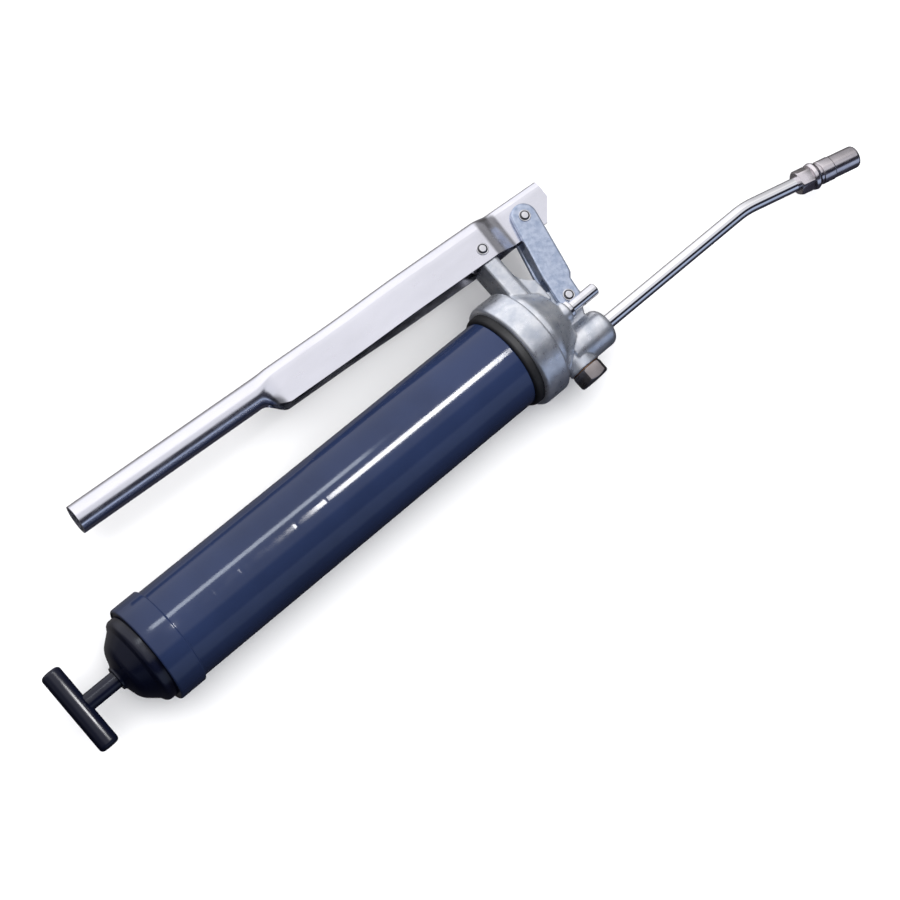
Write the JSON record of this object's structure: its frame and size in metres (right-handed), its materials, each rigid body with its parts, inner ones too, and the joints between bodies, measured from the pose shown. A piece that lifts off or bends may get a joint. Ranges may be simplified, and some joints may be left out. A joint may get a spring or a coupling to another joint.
{
  "type": "lever grease gun",
  "caption": "Hand grease gun with a lever-driven plunger head, an unscrewing cartridge barrel, a T-handled follower rod and a bent extension pipe ending in a nipple coupler.",
  "frame": {"origin": "on the barrel's axis near the middle of the stretch that a holder grips, 128.4 mm ahead of the step of its belled end", "axes": "+X along the barrel towards the coupler, +Y towards the hand lever, +Z square to the plane that the lever swings in"},
  "size_m": [0.5762, 0.1346, 0.0684],
  "materials": {
    "cast_zinc": "satin cast",
    "rough_casting": "rough plated casting",
    "plated_sheet": "bright nickel plate",
    "black_rubber": "matte",
    "plug_steel": "machined",
    "copper_washer": "dull",
    "bright_steel": "polished",
    "spring_steel": "oiled wire",
    "chrome_pipe": "bright",
    "coupler_plate": "bright plate",
    "jaw_steel": "hardened, dark",
    "navy_enamel": "gloss enamel",
    "dark_enamel": "gloss enamel",
    "bush_steel": "dark",
    "plate_steel": "zinc plated"
  },
  "bodies": {
    "head": {"head_casting": "cast_zinc", "dust_seal": "black_rubber", "plunger_packing": "black_rubber", "valve_plug": "plug_steel", "plug_washer": "copper_washer", "check_spring": "spring_steel", "bleed_body": "bright_steel", "bleed_spring": "spring_steel", "extension_pipe": "chrome_pipe", "coupler_adaptor": "coupler_plate", "coupler_lock_ring": "coupler_plate", "coupler_sleeve": "coupler_plate", "coupler_spring": "spring_steel", "link_pin": "bright_steel", "link_pin_clip": "jaw_steel"},
    "check_ball": {"check_ball": "bright_steel"},
    "bleed_pin": {"bleed_pin": "bright_steel", "bleed_seal": "black_rubber"},
    "coupler_jaws": {"coupler_jaws": "jaw_steel", "coupler_seal": "black_rubber"},
    "gasket": {"barrel_gasket": "black_rubber"},
    "barrel": {"barrel": "navy_enamel", "end_cap": "dark_enamel", "rod_bush": "bush_steel", "follower_spring": "spring_steel"},
    "follower": {"follower_cup": "black_rubber", "follower_front_plate": "plate_steel", "follower_rear_plate": "plate_steel"},
    "rod": {"follower_rod": "dark_enamel", "rod_stop_nut": "plate_steel", "t_handle": "dark_enamel"},
    "link": {"link": "rough_casting"},
    "lever": {"lever": "plated_sheet", "fulcrum_pin": "bright_steel", "fulcrum_pin_clip": "jaw_steel", "plunger_pin": "bright_steel", "plunger_pin_clip": "jaw_steel"},
    "plunger": {"plunger": "bright_steel"}
  },
  "joints": [
    {"name": "link_swing", "type": "hinge", "parent": "head", "child": "link", "pos_m": [0.1736, 0.0054, 0], "axis": [0, 0, 1], "range_deg": [0, 13.17]},
    {"name": "lever_swing", "type": "hinge", "parent": "link", "child": "lever", "pos_m": [0.186, 0.0576, 0], "axis": [0, 0, -1], "range_deg": [0, 63.12]},
    {"name": "plunger_stroke", "type": "slide", "parent": "head", "child": "plunger", "axis": [0, 1, 0], "range_m": [0, 0.0294]},
    {"name": "rod_pull", "type": "slide", "parent": "barrel", "child": "follower", "axis": [-1, 0, 0], "range_m": [0, 0.2], "deforming": ["follower_spring"]},
    {"name": "rod_turn", "type": "hinge", "parent": "follower", "child": "rod", "pos_m": [0, 0, 0], "axis": [1, 0, 0], "range_deg": [0, 90]},
    {"name": "barrel_turn", "type": "hinge", "parent": "gasket", "child": "barrel", "pos_m": [0, 0, 0], "axis": [-1, 0, 0], "range_deg": [0, 1440]},
    {"name": "barrel_advance", "type": "slide", "parent": "head", "child": "gasket", "axis": [-1, 0, 0], "range_m": [0, 0.0081]},
    {"name": "bleed_push", "type": "slide", "parent": "head", "child": "bleed_pin", "axis": [-1, 0, 0], "range_m": [0, 0.003], "stiffness_N_per_m": 300, "springref_m": -0.002, "deforming": ["bleed_spring"]},
    {"name": "check_lift", "type": "slide", "parent": "head", "child": "check_ball", "axis": [0, -1, 0], "range_m": [0, 0.0015], "stiffness_N_per_m": 200, "springref_m": -0.002, "deforming": ["check_spring"]},
    {"name": "jaws_retreat", "type": "slide", "parent": "head", "child": "coupler_jaws", "axis": [-0.9751, 0.2215, 0], "range_m": [0, 0.002], "stiffness_N_per_m": 1000, "springref_m": -0.002, "deforming": ["coupler_spring"]}
  ],
  "couplings": [
    {"joint": "link_swing", "follows": "lever_swing", "ratio": 0.20783},
    {"joint": "plunger_stroke", "follows": "lever_swing", "m_per_rad": 0.026644},
    {"joint": "barrel_advance", "follows": "barrel_turn", "m_per_rad": 0.00031831}
  ]
}
